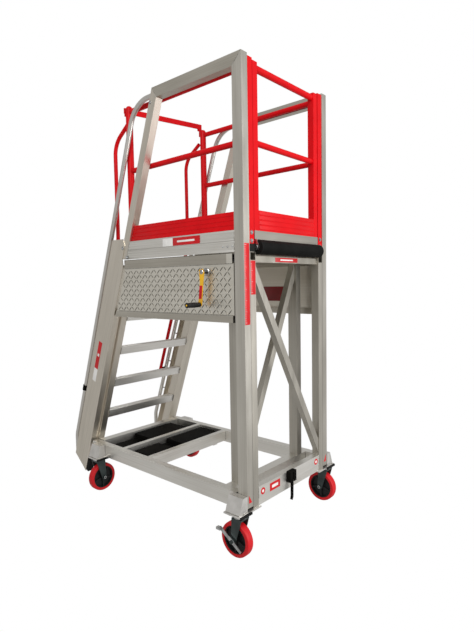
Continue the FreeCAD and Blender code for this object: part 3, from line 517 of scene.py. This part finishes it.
label("stile_label_red", [leaning_label(1766, 908, 1108, 42, -4.2)], red_vinyl, "platform")
label("stile_label_white", [leaning_label(1766, 812, 906, 42, -4.2),
                            leaning_label(1766, 1000, 1020, 22, -4.5)], white_vinyl, "platform")
label("beam_label_white", both(strip(-652, -560, -2.2, -1.2, 1750, 1797, 0.2)), white_vinyl,
      "platform")
label("beam_label_red", both(strip(-559, -327, -2.2, -1.2, 1750, 1797, 0.2)), red_vinyl,
      "platform")
label("beam_label_bars", both(strip(-520, -370, -2.5, -2.0, 1768, 1779, 0.1),
                              strip(-638, -608, -2.5, -2.0, 1758, 1788, 0.1)), white_vinyl,
      "platform")
label("panel_label_inner", [strip(-546, -254, 840.4, 841.2, 1385, 1489, 0.2)], shaded_red_vinyl,
      "chassis")
label("ring_beam_label", [strip(-14.2, -13.4, 300, 530, 1637, 1663, 0.2)], red_vinyl, "chassis")
label("ring_beam_label_bar", [strip(-13.7, -13.2, 350, 480, 1646, 1654, 0.1)], white_vinyl,
      "chassis")
label("front_beam_labels", [roundel(20, -0.2, 0.5, 0.1, y, 32) for y in (140, TRACK - 140)]
      + [strip(-0.2, 0.7, 205, 305, 303, 350, 0.2)], red_vinyl, "chassis")
label("front_label_mark", [roundel(9, 0.4, 0.9, 0.05, y, 24) for y in (140, TRACK - 140)]
      + [strip(0.5, 1.0, 225, 285, 318, 335, 0.1)], white_vinyl, "chassis")
label("mast_scale", [strip(-0.2, 0.6, 4, 46, 1292, 1732, 0.2)], red_vinyl, "platform")
label("post_scale", [strip(-0.2, 0.6, 55, 97, 1455, 1640, 0.2)], red_vinyl, "chassis")
label("mast_scale_marks", ticks(6, 1304, 1726), white_vinyl, "platform")
label("post_scale_marks", ticks(57, 1466, 1634), white_vinyl, "chassis")
foot_label = [(14, 300), (14, 345), (40, 300)]
label("mast_foot_label", both(prism_of(foot_label, -0.2, 0.6, "X", 0.2)), red_vinyl, "platform")

# ------------------------------------------------------------------ roller
grooved = [(0.1, 107), (38, 107), (40.6, 109)]
for y in np.arange(113, 736, 6.0):  # a groove 0.7 deep every 6 mm
    grooved += [(41, y), (41, y + 4.2), (40.3, y + 4.7), (40.3, y + 5.5)]
grooved += [(40.6, 741), (38, 743), (0.1, 743)]
ROLLER_PIN = [(0.1, 99.5), (8, 99.5), (9, 100.2), (9, 100.8), (6, 101), (6, 107.1), (0.1, 107.1)]
roller_at = at(ROLLER_X, 0, ROLLER_Z)
piece("roller_sleeve", [turned(grooved, roller_at, EY, 48)], roller_rubber, "roller",
      stands_for=("front_roller",))
piece("roller_pins", both(turned(ROLLER_PIN, roller_at, EY, 24)), plated, "roller")

# ------------------------------------------------------------------ casters
# By tag: the swivel axis x and y in mm, and the wheel axle's direction at rest.
CASTERS = {"nf": (-30, -28, EY), "ff": (-30, 878, EY),
           "nr": (-1411, -28, EX), "fr": (-1411, 878, EY)}
HALF_TREAD = [(79, 22.6), (90, 22.9), (95.5, 22.4), (98.4, 20), (99.6, 16), (99.96, 9),
              (100, 1.2), (99.3, 0.5)]
TREAD = [(r, -along) for r, along in HALF_TREAD] + HALF_TREAD[::-1]
AXLE_CAP = [(0.1, 29.2), (14, 29.2), (15, 30.6), (14, 31.6), (0.1, 31.8)]
HUB_RING = [(74, 19.2), (78, 19.2), (78, 20.6), (75, 21.2)]
AXLE_NUT = [(0.1, 42.6), (11, 42.6), (11, 44.0), (8.5, 44.4), (8.5, 43.9), (0.1, 43.9)]
SWIVEL_RACE = [(0.1, 231.5), (36.6, 231.5), (38, 233), (38, 236), (36.2, 237.4), (36.2, 238.4),
               (37.4, 239.6), (37.4, 242.4), (34, 243.6), (0.1, 243.8)]


def facing(profile, side):
    """A profile drawn outwards along the axis, kept for side 1 and mirrored for side -1."""
    return [(r, along * side) for r, along in profile][::side]


def wheel_looks(tag, axle_dir):
    """Tyre with rounded shoulders and a faint centre line, hub caps and nuts on the axle."""
    low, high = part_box("tyre_" + tag)
    centre = np.array((low + high) / 2)
    piece("tread_" + tag, [loop_turned(TREAD, centre, axle_dir, 96)], red_tread, "wheel_" + tag,
          stands_for=("tyre_" + tag,))
    caps = []
    for side in (1, -1):
        caps += [turned(facing(AXLE_CAP, side), centre, axle_dir, 28),
                 loop_turned(facing(HUB_RING, side), centre, axle_dir, 64)]
    piece("hub_caps_" + tag, caps, nylon_hub, "wheel_" + tag)
    nuts = [turned(facing(AXLE_NUT, side), centre, axle_dir, 6) for side in (1, -1)]
    piece("axle_nuts_" + tag, nuts, plated, "caster_" + tag)


def swivel_looks(tag, x, y):
    """The swivel bearing's stepped race, and the four bolts of its plate."""
    piece("swivel_race_" + tag, [turned(SWIVEL_RACE, at(x, y, 0), EZ, 48)], plated,
          "caster_" + tag)
    middle = x - 10 if x > -100 else x
    rows = (-58, 8) if y < 0 else (TRACK - 8, TRACK + 58)
    heads = [prism_of(hexagon(middle + dx, row, 7), 236.5, 244.6, "Z", 0.8)
             for dx in (-39.9, 39.9) for row in rows]
    piece("plate_bolts_" + tag, heads, plated, "chassis")


for tag, (x, y, axle_dir) in CASTERS.items():
    wheel_looks(tag, axle_dir)
for tag, (x, y, axle_dir) in CASTERS.items():
    swivel_looks(tag, x, y)

# ------------------------------------------------------------------ crank
BOSS = [(0.1, -37), (9, -37), (12, -35.4), (14, -33.4), (0.1, -33.4)]
BUSHING = [(10.6, 1.5), (21, 1.5), (23, 3), (23, 6.2), (10.6, 6.2)]
hub_at = at(CRANK_X, 0, CRANK_Z)
piece("crank_boss", [turned(BOSS, hub_at, EY, 32)], plated, "crank")
arm_patch = [(1432, -291), (1432, -313), (1508, -304), (1508, -281)]
piece("crank_label", [prism_of(arm_patch, -34.2, -33.4, "Y", 0.2)], red_vinyl, "crank")
grip_low, grip_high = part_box("crank_grip")
grip_mid = np.array([(grip_low.x + grip_high.x) / 2, ORIGIN[1], (grip_low.z + grip_high.z) / 2])
s = np.linspace(0, 1, 34)           # along the barrel, which swells in the middle and is ribbed
barrel_r = 13.5 + 1.6 * np.sin(np.pi * s) - 0.7 * (np.abs(np.sin(s * np.pi * 9)) < 0.3)
barrel = np.column_stack([barrel_r, -134 + 97 * s]).tolist()
grip = [(5.3, -138), (12, -138), (15.5, -136.6), *barrel, (13, -36.2), (5.3, -36.2)]
piece("grip_sleeve", [loop_turned(grip, grip_mid, EY, 36)], nylon_hub, "crank_grip",
      stands_for=("crank_grip",))
piece("panel_bushing", [loop_turned(BUSHING, hub_at, EY, 40)], plated, "chassis")

# ------------------------------------------------------------------ stage
# The camera sees plain white. Everything else is lit by a dimmer, warmer sky of the same world.
world = bpy.data.worlds.new("studio")
world.use_nodes = True
light = world.node_tree
back = light.nodes["Background"]
back.inputs["Color"].default_value = (1.0, 0.985, 0.96, 1)
back.inputs["Strength"].default_value = 0.48
plain = light.nodes.new("ShaderNodeBackground")
plain.inputs["Color"].default_value = (1, 1, 1, 1)
pick, ray = light.nodes.new("ShaderNodeMixShader"), light.nodes.new("ShaderNodeLightPath")
light.links.new(ray.outputs["Is Camera Ray"], pick.inputs[0])
light.links.new(back.outputs[0], pick.inputs[1])
light.links.new(plain.outputs[0], pick.inputs[2])
light.links.new(pick.outputs[0], light.nodes["World Output"].inputs[0])
bpy.context.scene.world = world


def softbox(name, place, aim, width, height, power):
    """A rectangular light at place that faces aim. Lengths in metres, power in watts."""
    lamp = bpy.data.lights.new(name, "AREA")
    lamp.shape, lamp.size, lamp.size_y, lamp.energy = "RECTANGLE", width, height, power
    obj = bpy.data.objects.new(name, lamp)
    obj.location = place
    obj.rotation_euler = (Vector(aim) - Vector(place)).to_track_quat("-Z", "Y").to_euler()
    bpy.context.scene.collection.objects.link(obj)


softbox("key", (2.6, -4.2, 4.6), (0, 0, 1.2), 3.0, 3.0, 150)
softbox("side", (4.6, 0.6, 1.7), (0, 0, 0.9), 2.5, 3.0, 135)

CAMERA_PLACE = (1653.6, -1965.6, 1522.6)
CAMERA_TURN, CAMERA_TILT, CAMERA_ROLL = 40.992, -4.0, -0.93     # degrees
camera = bpy.data.cameras.new("camera")
camera.sensor_fit, camera.sensor_height, camera.sensor_width = "VERTICAL", 36.0, 36.0
camera.lens = 27.36
view = bpy.data.objects.new("camera", camera)
view.matrix_world = (Matrix.Translation(at(*CAMERA_PLACE))
                     @ Matrix.Rotation(math.radians(CAMERA_TURN), 4, "Z")
                     @ Matrix.Rotation(math.radians(90 + CAMERA_TILT), 4, "X")
                     @ Matrix.Rotation(math.radians(CAMERA_ROLL), 4, "Z"))
bpy.context.scene.collection.objects.link(view)
bpy.context.scene.camera = view
bpy.context.scene.view_settings.view_transform = "Standard"
